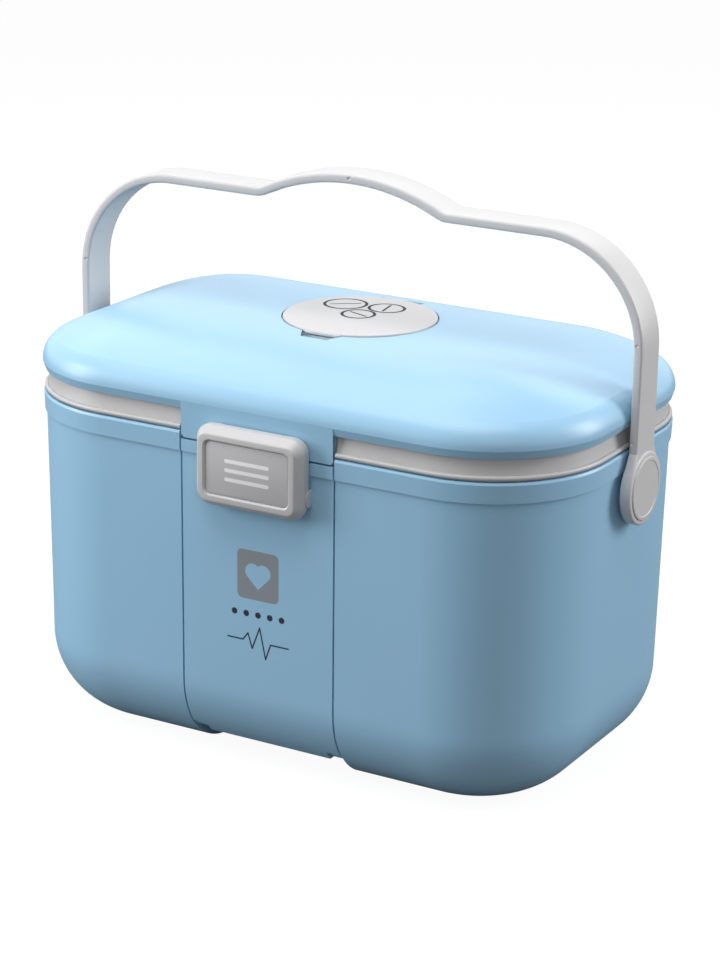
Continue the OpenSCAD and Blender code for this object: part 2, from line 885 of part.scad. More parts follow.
module handle_washer() {
    color(steel)
        translate([0, 0, pivot_z])
            difference() {
                x_cylinder(washer_r, eye_inner + eye_floor_t + 0.2, eye_inner + eye_floor_t + 0.2 + washer_t);
                x_cylinder(screw_r + 0.1, eye_inner, eye_inner + eye_t);
            }
}

module handle_screw() {
    seat = eye_inner + eye_floor_t + 0.2 + washer_t;
    color(steel)
        translate([0, 0, pivot_z])
            difference() {
                union() {
                    x_cylinder(screw_head_r, seat, seat + screw_head_t);
                    x_cylinder(screw_r, wall_at_pivot - wall - 3, seat + 0.5);
                }
                for (q = [0, 90])
                    rotate([q, 0, 0])
                        translate([seat + screw_head_t - 0.8, -2, -0.4])
                            cube([over, 4, 0.8]);
            }
}

module tray_fill(t, top) {
    polygon([
        [-corner_r, tray_floor + t], [tray_body_x - tray_r, tray_floor + t],
        [tray_body_x - t, tray_floor + tray_r], [tray_body_x - t, top], [-corner_r, top]
    ]);
    intersection() {
        translate([tray_body_x - tray_r, tray_floor + tray_r])
            circle(tray_r - t);
        translate([tray_body_x - tray_r, tray_floor])
            square(tray_r);
    }
}

module tray_section() {
    lip_top = tray_lip_z + tray_lip_t;
    difference() {
        union() {
            tray_fill(0, lip_top);
            translate([tray_body_x - tray_wall / 2, tray_lip_z])
                square([tray_x - tray_body_x + tray_wall / 2, tray_lip_t]);
        }
        tray_fill(tray_wall, lip_top + over);
    }
}

tray_inner_w = box_w + 2 * (tray_body_x - tray_wall);
tray_front_in = front_y - tray_body_x + tray_wall;
function divider_x(i) = -tray_inner_w / 2 + tray_inner_w * (i + 1) / (divider_count + 1);

// Moulded rails that hold the removable dividers
module tray_rails() {
    rail_top = tray_lip_z - 6;
    for (i = [0 : divider_count - 1], s = [-1, 1])
        for (end = [tray_front_in - 0.4, mid_wall_y - tray_wall / 2 - divider_rail])
            translate([divider_x(i) + s * (divider_t / 2 + divider_slot + 0.6) - 0.6, end, tray_floor + 1])
                cube([1.2, divider_rail + 0.4, rail_top - tray_floor - 1]);
}

module inner_tray() {
    color(tray_white) {
        swept(box_w, box_d, corner_r)
            tray_section();
        translate([-box_w / 2 + corner_r, -box_d / 2 + corner_r, tray_floor])
            cube([box_w - 2 * corner_r, box_d - 2 * corner_r, tray_wall]);
        translate([-tray_inner_w / 2 - 0.4, mid_wall_y - tray_wall / 2, tray_floor + 1])
            cube([tray_inner_w + 0.8, tray_wall, tray_lip_z - 4 - tray_floor - 1]);
        tray_rails();
    }
}

module tray_dividers() {
    y0 = tray_front_in + 0.3;
    y1 = mid_wall_y - tray_wall / 2 - 0.3;
    z0 = tray_floor + tray_wall;
    z1 = tray_lip_z - 6;
    color(tray_white)
        for (i = [0 : divider_count - 1])
            translate([divider_x(i), 0, 0])
                along_x(divider_t)
                    polygon([
                        [y0 + tray_r, z0], [y1, z0], [y1, z1], [y1 - 8, z1],
                        [y1 - 12, z1 - 4], [y0 + 12, z1 - 4], [y0 + 8, z1], [y0, z1], [y0, z0 + tray_r]
                    ]);
}

module right_side() {
    children();
}

module left_side() {
    rotate([0, 0, 180])
        children();
}

outer_shell();
rim_frame();
front_door();
door_pin(-1);  // door_pin_left
door_pin(1);  // door_pin_right
latch_body();
latch_plate();
latch_pin(-1);  // latch_pin_left
latch_pin(1);  // latch_pin_right
lid_shell();
lid_pin(-1);  // lid_pin_left
lid_pin(1);  // lid_pin_right
pill_well();
well_cover();
cover_pin();
handle();
left_side() handle_cap();  // handle_cap_left
right_side() handle_cap();  // handle_cap_right
left_side() handle_washer();  // handle_washer_left
right_side() handle_washer();  // handle_washer_right
left_side() handle_screw();  // handle_screw_left
right_side() handle_screw();  // handle_screw_right
inner_tray();
tray_dividers();
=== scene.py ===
import math

import bpy
from mathutils import Matrix, Vector


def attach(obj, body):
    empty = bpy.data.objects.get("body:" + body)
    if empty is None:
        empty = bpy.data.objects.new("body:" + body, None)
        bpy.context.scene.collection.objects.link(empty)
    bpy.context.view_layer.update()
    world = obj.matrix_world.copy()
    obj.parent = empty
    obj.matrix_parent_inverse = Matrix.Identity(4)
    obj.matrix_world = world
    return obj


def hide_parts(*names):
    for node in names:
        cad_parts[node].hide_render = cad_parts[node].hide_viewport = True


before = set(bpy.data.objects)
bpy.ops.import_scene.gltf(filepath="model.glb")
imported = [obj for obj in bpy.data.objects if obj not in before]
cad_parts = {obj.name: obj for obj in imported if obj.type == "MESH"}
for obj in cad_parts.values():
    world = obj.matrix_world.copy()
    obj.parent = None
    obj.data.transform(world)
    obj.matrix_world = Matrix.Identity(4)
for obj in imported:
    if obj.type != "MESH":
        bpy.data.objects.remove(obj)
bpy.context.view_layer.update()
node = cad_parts

# Camera: a long lens from the right front, a little above the lid. The whole
# box stands in the picture with its right side turned towards the lens.
azimuth = math.radians(29.35)
elevation = math.radians(18.117)
roll = math.radians(1.04)
distance = 1.4859
aim_height = 0.1353
aim_right = 0.00331
right = Vector((math.cos(azimuth), math.sin(azimuth), 0))
back = Vector((
    math.sin(azimuth) * math.cos(elevation),
    -math.cos(azimuth) * math.cos(elevation),
    math.sin(elevation)))
up = back.cross(right)
place = Vector((0, 0, aim_height)) + right * aim_right + back * distance
across = right * math.cos(roll) + up * math.sin(roll)
upwards = up * math.cos(roll) - right * math.sin(roll)
bpy.ops.object.camera_add()
camera = bpy.context.object
camera.name = "view_camera"
camera.data.lens = 104.8
camera.data.sensor_width = 36
camera.data.clip_end = 30
camera.matrix_world = Matrix((
    (across.x, upwards.x, back.x, place.x),
    (across.y, upwards.y, back.y, place.y),
    (across.z, upwards.z, back.z, place.z),
    (0, 0, 0, 1)))
bpy.context.scene.camera = camera
bpy.context.scene.view_settings.view_transform = "Standard"

# Studio: a white surround that the camera and the plastic's gloss see, while it
# lights the box only softly, and a pale floor that keeps the box's shadow.
surround_light = 0.25
surround_gloss = 0.30
world = bpy.data.worlds.new("studio_surround")
bpy.context.scene.world = world
world.use_nodes = True
nodes = world.node_tree.nodes
links = world.node_tree.links
nodes.clear()
rays = nodes.new("ShaderNodeLightPath")
seen = nodes.new("ShaderNodeMath")
seen.operation = "MAXIMUM"
seen_through = nodes.new("ShaderNodeMath")
seen_through.operation = "MAXIMUM"
white = nodes.new("ShaderNodeBackground")
white.inputs["Color"].default_value = (1, 1, 1, 1)
glare = nodes.new("ShaderNodeMath")
glare.operation = "MULTIPLY_ADD"
glare.inputs[1].default_value = surround_gloss
glare.inputs[2].default_value = 1.0
soft = nodes.new("ShaderNodeBackground")
soft.inputs["Color"].default_value = (1, 1, 1, 1)
soft.inputs["Strength"].default_value = surround_light
which = nodes.new("ShaderNodeMixShader")
world_out = nodes.new("ShaderNodeOutputWorld")
links.new(rays.outputs["Is Camera Ray"], seen.inputs[0])
links.new(rays.outputs["Is Glossy Ray"], seen.inputs[1])
links.new(rays.outputs["Is Glossy Ray"], glare.inputs[0])
links.new(glare.outputs[0], white.inputs["Strength"])
links.new(seen.outputs[0], seen_through.inputs[0])
links.new(rays.outputs["Is Transmission Ray"], seen_through.inputs[1])
links.new(seen_through.outputs[0], which.inputs[0])
links.new(soft.outputs[0], which.inputs[1])
links.new(white.outputs[0], which.inputs[2])
links.new(which.outputs[0], world_out.inputs["Surface"])

floor_size = 12
floor_tone = 0.16
floor_tone_in_view = 0.80
floor_white = 1.09
floor_white_share = 0.86
bpy.ops.mesh.primitive_plane_add(size=floor_size, location=(0, 0, 0))
floor = bpy.context.object
floor.name = "studio_floor"
floor_paint = bpy.data.materials.new("floor_paint")
floor_paint.use_nodes = True
nodes = floor_paint.node_tree.nodes
links = floor_paint.node_tree.links
nodes.clear()
rays = nodes.new("ShaderNodeLightPath")
matt = nodes.new("ShaderNodeBsdfDiffuse")
pale = nodes.new("ShaderNodeMath")
pale.operation = "MULTIPLY_ADD"
pale.inputs[1].default_value = floor_tone_in_view - floor_tone
pale.inputs[2].default_value = floor_tone
glow = nodes.new("ShaderNodeEmission")
glow.inputs["Color"].default_value = (1, 1, 1, 1)
glow.inputs["Strength"].default_value = floor_white
seen = nodes.new("ShaderNodeMath")
seen.operation = "MULTIPLY"
seen.inputs[1].default_value = floor_white_share
lit = nodes.new("ShaderNodeMixShader")
floor_out = nodes.new("ShaderNodeOutputMaterial")
links.new(rays.outputs["Is Camera Ray"], pale.inputs[0])
links.new(pale.outputs[0], matt.inputs["Color"])
links.new(rays.outputs["Is Camera Ray"], seen.inputs[0])
links.new(seen.outputs[0], lit.inputs[0])
links.new(matt.outputs[0], lit.inputs[1])
links.new(glow.outputs[0], lit.inputs[2])
links.new(lit.outputs[0], floor_out.inputs["Surface"])
floor.data.materials.append(floor_paint)


def soft_box(name, place, aim, size, power):
    bpy.ops.object.light_add(type="AREA", location=place)
    lamp = bpy.context.object
    lamp.name = name
    lamp.data.shape = "RECTANGLE"
    lamp.data.size = size[0]
    lamp.data.size_y = size[1]
    lamp.data.energy = power
    lamp.rotation_euler = (Vector(aim) - Vector(place)).to_track_quat("-Z", "Y").to_euler()
    return lamp


soft_box("overhead_box", (-0.15, -0.40, 1.75), (0, 0, 0.2), (1.6, 1.3), 23)
# This card is seen by the gloss alone, and gives the lid's crown its sheen.
card = soft_box("gloss_card", (-0.68, 1.21, 1.60), (0, 0, 0.2), (2.4, 1.0), 16)
card.visible_diffuse = False
soft_box("left_box", (-1.15, -0.75, 0.55), (-0.05, 0, 0.14), (0.6, 0.9), 13)
soft_box("front_box", (1.2, -1.5, 1.0), (0.1, 0, 0.2), (0.8, 0.8), 3.5)
soft_box("right_box", (1.5, 1.0, 0.8), (0.1, 0, 0.14), (0.7, 1.1), 22)


# Outer shell: one injection-moulded tub of pale blue plastic, with a satin skin
# and a fine moulding texture. Door and lid are moulded from the same batch.
def moulded_plastic(name, colours, roughness, grain, relief):
    paint = bpy.data.materials.new(name)
    paint.use_nodes = True
    nodes = paint.node_tree.nodes
    links = paint.node_tree.links
    shader = nodes["Principled BSDF"]
    place = nodes.new("ShaderNodeTexCoord")
    place.name = "place"
    cloud = nodes.new("ShaderNodeTexNoise")
    cloud.inputs["Scale"].default_value = 9
    cloud.inputs["Detail"].default_value = 2
    shade = nodes.new("ShaderNodeValToRGB")
    for stop, position, colour in zip(shade.color_ramp.elements, (0.35, 0.65), colours):
        stop.position = position
        stop.color = (*colour, 1)
    skin = nodes.new("ShaderNodeTexNoise")
    skin.inputs["Scale"].default_value = grain
    skin.inputs["Detail"].default_value = 3
    rough = nodes.new("ShaderNodeMapRange")
    rough.inputs["From Min"].default_value = 0.3
    rough.inputs["From Max"].default_value = 0.7
    rough.inputs["To Min"].default_value = roughness - 0.03
    rough.inputs["To Max"].default_value = roughness + 0.03
    bump = nodes.new("ShaderNodeBump")
    bump.inputs["Strength"].default_value = relief
    bump.inputs["Distance"].default_value = 0.0001
    links.new(place.outputs["Object"], cloud.inputs["Vector"])
    links.new(place.outputs["Object"], skin.inputs["Vector"])
    links.new(cloud.outputs["Fac"], shade.inputs["Fac"])
    links.new(shade.outputs["Color"], shader.inputs["Base Color"])
    links.new(skin.outputs["Fac"], rough.inputs["Value"])
    links.new(rough.outputs["Result"], shader.inputs["Roughness"])
    links.new(skin.outputs["Fac"], bump.inputs["Height"])
    links.new(bump.outputs["Normal"], shader.inputs["Normal"])
    return paint


def dress(piece, paint):
    piece.data.materials.clear()
    piece.data.materials.append(paint)


pale_blue = ((0.303, 0.540, 0.740), (0.313, 0.552, 0.753))
blue_plastic = moulded_plastic("blue_plastic", pale_blue, 0.36, 900, 0.25)
dress(node["outer_shell"], blue_plastic)

# Door pins: two short lengths of drawn steel wire, pressed into the shell's lugs
# at the foot of the doorway. All other pins, washers and screws are steel too.
steel_wire = bpy.data.materials.new("steel_wire")
steel_wire.use_nodes = True
nodes = steel_wire.node_tree.nodes
links = steel_wire.node_tree.links
shader = nodes["Principled BSDF"]
shader.inputs["Metallic"].default_value = 1.0
place = nodes.new("ShaderNodeTexCoord")
drawn = nodes.new("ShaderNodeMapping")
drawn.inputs["Scale"].default_value = (20, 900, 900)
streak = nodes.new("ShaderNodeTexNoise")
streak.inputs["Scale"].default_value = 1
tone = nodes.new("ShaderNodeValToRGB")
tone.color_ramp.elements[0].color = (0.50, 0.50, 0.52, 1)
tone.color_ramp.elements[1].color = (0.66, 0.66, 0.67, 1)
rough = nodes.new("ShaderNodeMapRange")
rough.inputs["To Min"].default_value = 0.25
rough.inputs["To Max"].default_value = 0.42
links.new(place.outputs["Object"], drawn.inputs["Vector"])
links.new(drawn.outputs["Vector"], streak.inputs["Vector"])
links.new(streak.outputs["Fac"], tone.inputs["Fac"])
links.new(streak.outputs["Fac"], rough.inputs["Value"])
links.new(tone.outputs["Color"], shader.inputs["Base Color"])
links.new(rough.outputs["Result"], shader.inputs["Roughness"])
for name in ("door_pin_left", "door_pin_right"):
    dress(node[name], steel_wire)

# Inner tray and its dividers: milky white plastic, moulded thin, dropped onto the
# rim's ledge. The dividers slide between rails and lift out by hand.
milky_white = ((0.72, 0.75, 0.77), (0.74, 0.77, 0.79))
tray_plastic = moulded_plastic("tray_plastic", milky_white, 0.45, 900, 0.25)
for name in ("inner_tray", "tray_dividers"):
    dress(node[name], tray_plastic)

# Rim frame: warm light grey plastic, duller than the shell, snapped into its
# mouth. Its bead and flared band show between shell and lid.
light_grey = ((0.525, 0.520, 0.525), (0.540, 0.535, 0.540))
grey_plastic = moulded_plastic("grey_plastic", light_grey, 0.42, 1100, 0.25)
dress(node["rim_frame"], grey_plastic)


# Front door: a curved panel of the shell's blue, hinged at its foot. A grey tile
# with a heart, a row of dots and a pulse line are pad-printed on its outside.
def wired(tree, kind, operation, feeds):
    step = tree.nodes.new(kind)
    step.operation = operation
    for k, feed in enumerate(feeds):
        if isinstance(feed, (int, float, tuple)):
            step.inputs[k].default_value = feed
        else:
            tree.links.new(feed, step.inputs[k])
    return step.outputs


def number(tree, operation, *feeds):
    return wired(tree, "ShaderNodeMath", operation, feeds)["Value"]


def vector(tree, operation, *feeds):
    outputs = wired(tree, "ShaderNodeVectorMath", operation, feeds)
    return outputs["Value" if operation in ("DISTANCE", "DOT_PRODUCT", "LENGTH") else "Vector"]


def apart(tree, source):
    split = tree.nodes.new("ShaderNodeSeparateXYZ")
    tree.links.new(tree.nodes["place"].outputs[source], split.inputs[0])
    return split.outputs


def flat_point(tree, first, second):
    axes = apart(tree, "Object")
    join = tree.nodes.new("ShaderNodeCombineXYZ")
    tree.links.new(axes[first], join.inputs["X"])
    tree.links.new(axes[second], join.inputs["Y"])
    return join.outputs[0]


def within(tree, distance, limit):
    blur = 0.00008
    edge = tree.nodes.new("ShaderNodeMapRange")
    edge.inputs["From Min"].default_value = limit - blur
    edge.inputs["From Max"].default_value = limit + blur
    edge.inputs["To Min"].default_value = 1
    edge.inputs["To Max"].default_value = 0
    tree.links.new(distance, edge.inputs["Value"])
    return edge.outputs["Result"]


def dot(tree, point, centre, radius):
    return within(tree, vector(tree, "DISTANCE", point, (*centre, 0)), radius)


def ring(tree, point, centre, radius, half):
    off = number(tree, "SUBTRACT", vector(tree, "DISTANCE", point, (*centre, 0)), radius)
    return within(tree, number(tree, "ABSOLUTE", off), half)


def stroke(tree, point, a, b, half):
    run = (b[0] - a[0], b[1] - a[1], 0)
    size = run[0] ** 2 + run[1] ** 2
    from_a = vector(tree, "SUBTRACT", point, (*a, 0))
    along = vector(tree, "DOT_PRODUCT", from_a, (run[0] / size, run[1] / size, 0))
    held = tree.nodes.new("ShaderNodeClamp")
    tree.links.new(along, held.inputs["Value"])
    nearest = tree.nodes.new("ShaderNodeVectorMath")
    nearest.operation = "SCALE"
    nearest.inputs[0].default_value = run
    tree.links.new(held.outputs[0], nearest.inputs["Scale"])
    return within(tree, vector(tree, "DISTANCE", from_a, nearest.outputs[0]), half)


def together(tree, masks):
    total = masks[0]
    for mask in masks[1:]:
        total = number(tree, "MAXIMUM", total, mask)
    return total


def facing_front(tree, mask):
    outside = number(tree, "LESS_THAN", apart(tree, "Normal")["Y"], -0.3)
    return number(tree, "MULTIPLY", mask, outside)


def print_on(tree, mask, colour):
    shader = tree.nodes["Principled BSDF"]
    skin = shader.inputs["Roughness"].links[0].from_socket
    ink = tree.nodes.new("ShaderNodeMix")
    ink.data_type = "RGBA"
    ink.inputs[7].default_value = (*colour, 1)
    tree.links.new(mask, ink.inputs[0])
    tree.links.new(shader.inputs["Base Color"].links[0].from_socket, ink.inputs[6])
    tree.links.new(ink.outputs[2], shader.inputs["Base Color"])
    dull = number(tree, "MAXIMUM", number(tree, "MULTIPLY", mask, 0.9), skin)
    tree.links.new(dull, shader.inputs["Roughness"])


print_x = 0.0005
tile_z = 0.111
tile_half = (0.00925, 0.01025, 0)
tile_corner = 0.003
heart_z = 0.1098
heart_reach = 0.0062
lobe_x = 0.0031
lobe_z = 0.1129
lobe_r = 0.00438
dots_z = 0.0897
dot_step = 0.007
dot_r = 0.0017
pulse_z = 0.075
pulse_half = 0.00042
tile_grey = (0.235, 0.262, 0.295)
dark_ink = (0.012, 0.018, 0.040)
door_paint = moulded_plastic("door_paint", pale_blue, 0.36, 900, 0.25)
tree = door_paint.node_tree
point = flat_point(tree, "X", "Z")
fold = vector(tree, "ABSOLUTE", vector(tree, "SUBTRACT", point, (print_x, tile_z, 0)))
past = vector(tree, "MAXIMUM", vector(tree, "SUBTRACT", fold, tile_half), (0, 0, 0))
tile = within(tree, vector(tree, "LENGTH", past), tile_corner)
fold = vector(tree, "ABSOLUTE", vector(tree, "SUBTRACT", point, (print_x, heart_z, 0)))
heart = together(tree, [
    within(tree, vector(tree, "DOT_PRODUCT", fold, (1, 1, 0)), heart_reach),
    dot(tree, point, (print_x - lobe_x, lobe_z), lobe_r),
    dot(tree, point, (print_x + lobe_x, lobe_z), lobe_r)])
tile = number(tree, "MULTIPLY", tile, number(tree, "SUBTRACT", 1.0, heart))
print_on(tree, facing_front(tree, tile), tile_grey)
lines = [dot(tree, point, (print_x + k * dot_step, dots_z), dot_r) for k in (-2, -1, 0, 1, 2)]
trace = [
    (-0.0175, pulse_z), (-0.0085, pulse_z), (-0.0055, 0.079), (-0.0030, 0.071),
    (0.0015, 0.083), (0.0050, 0.0665), (0.0080, pulse_z), (0.0185, pulse_z)]
lines += [stroke(tree, point, a, b, pulse_half) for a, b in zip(trace, trace[1:])]
print_on(tree, facing_front(tree, together(tree, lines)), dark_ink)
dress(node["front_door"], door_paint)


# Latch body: a rocking frame of the grey plastic, with a softly bevelled rim
# round a recess. It is hollow behind, and its side walls carry the steel pins.
def activate(piece):
    bpy.ops.object.select_all(action="DESELECT")
    piece.select_set(True)
    bpy.context.view_layer.objects.active = piece


def settle(name):
    piece = bpy.context.object
    piece.name = name
    bpy.ops.object.transform_apply(location=True, rotation=True, scale=True)
    return piece


def slab(name, size, place):
    bpy.ops.object.select_all(action="DESELECT")
    bpy.ops.mesh.primitive_cube_add(size=1, location=place)
    bpy.context.object.scale = size
    return settle(name)


def rod(name, radius, ends, y, z, sides=64):
    bpy.ops.object.select_all(action="DESELECT")
    bpy.ops.mesh.primitive_cylinder_add(
        vertices=sides, radius=radius, depth=abs(ends[1] - ends[0]),
        location=(sum(ends) / 2, y, z), rotation=(0, math.pi / 2, 0))
    return settle(name)


def choose(piece, kind, test):
    activate(piece)
    bpy.ops.object.mode_set(mode="EDIT")
    bpy.ops.mesh.select_mode(type=kind)
    bpy.ops.mesh.select_all(action="DESELECT")
    bpy.ops.object.mode_set(mode="OBJECT")
    mesh = piece.data
    if kind == "EDGE":
        for edge in mesh.edges:
            edge.select = test(*(mesh.vertices[v].co for v in edge.vertices))
    elif kind == "FACE":
        for face in mesh.polygons:
            face.select = test(face.center, face.normal)
    else:
        for vertex in mesh.vertices:
            vertex.select = test(vertex.co)
    bpy.ops.object.mode_set(mode="EDIT")


def leave():
    bpy.ops.object.mode_set(mode="OBJECT")


def round_edges(piece, width, segments, angle=30):
    activate(piece)
    soft = piece.modifiers.new("soft", "BEVEL")
    soft.width = width
    soft.segments = segments
    soft.limit_method = "ANGLE"
    soft.angle_limit = math.radians(angle)
    bpy.ops.object.modifier_apply(modifier=soft.name)


def carve(piece, cutter, operation="DIFFERENCE"):
    activate(piece)
    cut = piece.modifiers.new("cut", "BOOLEAN")
    cut.operation = operation
    cut.solver = "EXACT"
    cut.object = cutter
    bpy.ops.object.modifier_apply(modifier=cut.name)
    bpy.data.objects.remove(cutter, do_unlink=True)
    bpy.ops.object.mode_set(mode="EDIT")
    bpy.ops.mesh.select_all(action="SELECT")
    bpy.ops.mesh.remove_doubles(threshold=0.000002)
    leave()


def smooth(piece, angle=35):
    activate(piece)
    bpy.ops.object.shade_smooth_by_angle(angle=math.radians(angle))


def rounded_slab(name, size, place, radius):
    piece = slab(name, size, place)
    choose(piece, "EDGE", lambda a, b: abs(a.y - b.y) > size[1] / 2)
    bpy.ops.mesh.bevel(offset=radius, segments=8, affect="EDGES")
    leave()
    return piece


latch_w = 0.063
latch_h = 0.0422
latch_z = 0.1682
latch_pin_y = -0.1039
latch_pin_z = 0.1651
latch_pin_bore = 0.00101
latch_pin_reach = 0.0312
rim_slope_w = 0.0036
rim_slope_h = 0.0048
recess_size = (0.0504, 0.002, 0.0296)
recess_slope_w = 0.0009
recess_slope_h = 0.0006
wedge_y = -0.0988
wedge_z = 0.1541
thumb_relief = 0.00384
latch = rounded_slab("latch_frame", (latch_w, 0.0044, latch_h), (0, -0.1025, latch_z), 0.008)
choose(latch, "FACE", lambda c, n: n.y < -0.9)
bpy.ops.mesh.inset(thickness=rim_slope_w, depth=rim_slope_h)
leave()
round_edges(latch, 0.0006, 3)
recess = rounded_slab("recess", recess_size, (0, -0.1101, latch_z), 0.0040)
choose(recess, "FACE", lambda c, n: n.y > 0.9)
bpy.ops.mesh.inset(thickness=recess_slope_w, depth=recess_slope_h)
leave()
carve(latch, recess)
carve(latch, rounded_slab("pocket", (0.058, 0.0072, 0.0372), (0, -0.1029, latch_z), 0.0055))
carve(latch, rounded_slab("plate_pocket", (0.0486, 0.003, 0.0278), (0, -0.1091, latch_z), 0.0031))
carve(latch, slab("nose_gap", (0.038, 0.003, 0.012), (0, -0.0996, 0.1888)))
wedge = slab("wedge", (0.07, 0.003, 0.018), (0, wedge_y, wedge_z))
choose(wedge, "VERT", lambda p: p.y < wedge_y and p.z < wedge_z)
bpy.ops.transform.translate(value=(0, -thumb_relief, 0))
leave()
carve(latch, wedge)
latch_pin_ends = (-latch_pin_reach, latch_pin_reach)
carve(latch, rod("pin_bore", latch_pin_bore, latch_pin_ends, latch_pin_y, latch_pin_z, 32))
smooth(latch)
dress(latch, grey_plastic)
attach(latch, "latch")
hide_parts("latch_body")

# Latch plate: a separate insert of mid grey plastic, sparked to a fine matt skin
# and glued into the frame's recess. Three pale bars are printed on it.
plate_size = (0.0482, 0.0008, 0.0274)
plate_y = -0.1080
plate_corner_r = 0.0029
bar_half_w = 0.012
bar_half_h = 0.0010
bar_step = 0.0048
mid_grey = ((0.460, 0.456, 0.474), (0.475, 0.471, 0.489))
pale_ink = (0.80, 0.80, 0.81)
plate_plastic = moulded_plastic("plate_plastic", mid_grey, 0.55, 1600, 0.6)
plate = rounded_slab("grip_plate", plate_size, (0, plate_y, latch_z), plate_corner_r)
round_edges(plate, 0.00015, 2)
tree = plate_plastic.node_tree
point = flat_point(tree, "X", "Z")
lines = []
for k in (-1, 0, 1):
    bar_z = latch_z + k * bar_step
    lines.append(stroke(tree, point, (-bar_half_w, bar_z), (bar_half_w, bar_z), bar_half_h))
print_on(tree, facing_front(tree, together(tree, lines)), pale_ink)
smooth(plate)
dress(plate, plate_plastic)
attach(plate, "latch")
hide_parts("latch_plate")
for name in ("latch_pin_left", "latch_pin_right"):
    dress(node[name], steel_wire)

# Latch guards: two half-round cheeks moulded on the door beside the latch's lower
# corners, where a thumb would else push the frame sideways off its pins.
guard_r = 0.0047
guard_x = (0.0316, 0.0320)
guard_y = -0.0998
guard_z = 0.1588
for side, name in ((-1, "left"), (1, "right")):
    guard = rod("latch_guard_" + name, guard_r, [side * x for x in guard_x], guard_y, guard_z, 48)
    round_edges(guard, 0.00015, 2, 60)
    smooth(guard)
    dress(guard, grey_plastic)
    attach(guard, "door")

# Lid: a domed moulding of the shell's blue on two steel pins at the back. The
# face of its front tab is thickened, to run up into the skirt without a step.
tab_size = (0.0886, 0.0020, 0.0193)
tab_y = -0.09926
tab_z = 0.18755
tab_lean = 0.0009
tab_cut = 0.0015
dress(node["lid_shell"], blue_plastic)
tab_face = slab("tab_face", tab_size, (0, tab_y, tab_z))
choose(tab_face, "VERT", lambda p: p.y < tab_y and p.z < tab_z)
bpy.ops.transform.translate(value=(0, tab_lean, 0))
leave()
choose(tab_face, "EDGE", lambda a, b: max(a.z, b.z) < tab_z and abs(a.y - b.y) > 0.0005)
bpy.ops.mesh.bevel(offset=tab_cut, segments=1, affect="EDGES")
leave()
dress(tab_face, blue_plastic)
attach(tab_face, "lid")
for name in ("lid_pin_left", "lid_pin_right"):
    dress(node[name], steel_wire)

# Pill well: a grey cup let into the lid's crown, its flange glued on a ledge.
# A short trough behind it holds the cover's hinge pin.
dress(node["pill_well"], grey_plastic)
dress(node["cover_pin"], steel_wire)

# Round cover: a faintly crowned disc of the grey plastic with a finger tongue in
# front and a barrel behind. Three scored tablets are printed on it in dark line.
cover_r = 0.0406
cover_y = 0.004
cover_t = 0.0021
cover_z = 0.22375
cover_pin_y = 0.0465
cover_pin_z = 0.2217
barrel_r = 0.0016
barrel_bore = 0.00076
tongue_y = -0.0319
tongue_corner_r = 0.0025
tablet_line = 0.00085
score_line = 0.00065
score_reach = 0.7
disc_grey = ((0.525, 0.520, 0.532), (0.540, 0.535, 0.546))
line_ink = (0.008, 0.009, 0.014)
disc_plastic = moulded_plastic("disc_plastic", disc_grey, 0.40, 1100, 0.2)
bpy.ops.object.select_all(action="DESELECT")
bpy.ops.mesh.primitive_cylinder_add(
    vertices=160, radius=cover_r, depth=cover_t, location=(0, cover_y, cover_z))
cover = settle("flip_cover")
round_edges(cover, 0.0007, 4, 60)
choose(cover, "FACE", lambda c, n: n.z > 0.99)
for width, rise in ((0.008, 0.00030), (0.010, 0.00025), (0.010, 0.00012)):
    bpy.ops.mesh.inset(thickness=width, depth=rise)
leave()
tongue = slab("tongue", (0.022, 0.010, 0.0015), (0, tongue_y, 0.22365))
choose(tongue, "EDGE", lambda a, b: abs(a.z - b.z) > 0.001 and a.y < -0.036)
bpy.ops.mesh.bevel(offset=tongue_corner_r, segments=4, affect="EDGES")
leave()
round_edges(tongue, 0.0004, 2)
carve(cover, tongue, "UNION")
carve(cover, slab("web", (0.016, 0.007, 0.0006), (0, 0.0425, 0.22305)), "UNION")
carve(cover, rod("barrel", barrel_r, (-0.008, 0.008), cover_pin_y, cover_pin_z, 48), "UNION")
carve(cover, rod("barrel_bore", barrel_bore, (-0.009, 0.009), cover_pin_y, cover_pin_z, 24))
tablets = [
    ((-0.0175, 0.0190), 0.0112, 35),
    ((0.0055, 0.0225), 0.0094, 100),
    ((-0.0010, 0.0035), 0.0086, -20)]
tree = disc_plastic.node_tree
point = flat_point(tree, "X", "Y")
lines = []
for (x, y), radius, turn in tablets:
    dx = math.cos(math.radians(turn)) * radius * score_reach
    dy = math.sin(math.radians(turn)) * radius * score_reach
    lines.append(ring(tree, point, (x, y), radius, tablet_line))
    lines.append(stroke(tree, point, (x - dx, y - dy), (x + dx, y + dy), score_line))
above = number(tree, "GREATER_THAN", apart(tree, "Object")["Z"], 0.2240)
print_on(tree, number(tree, "MULTIPLY", together(tree, lines), above), line_ink)
smooth(cover)
dress(cover, disc_plastic)
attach(cover, "cover")
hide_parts("well_cover")

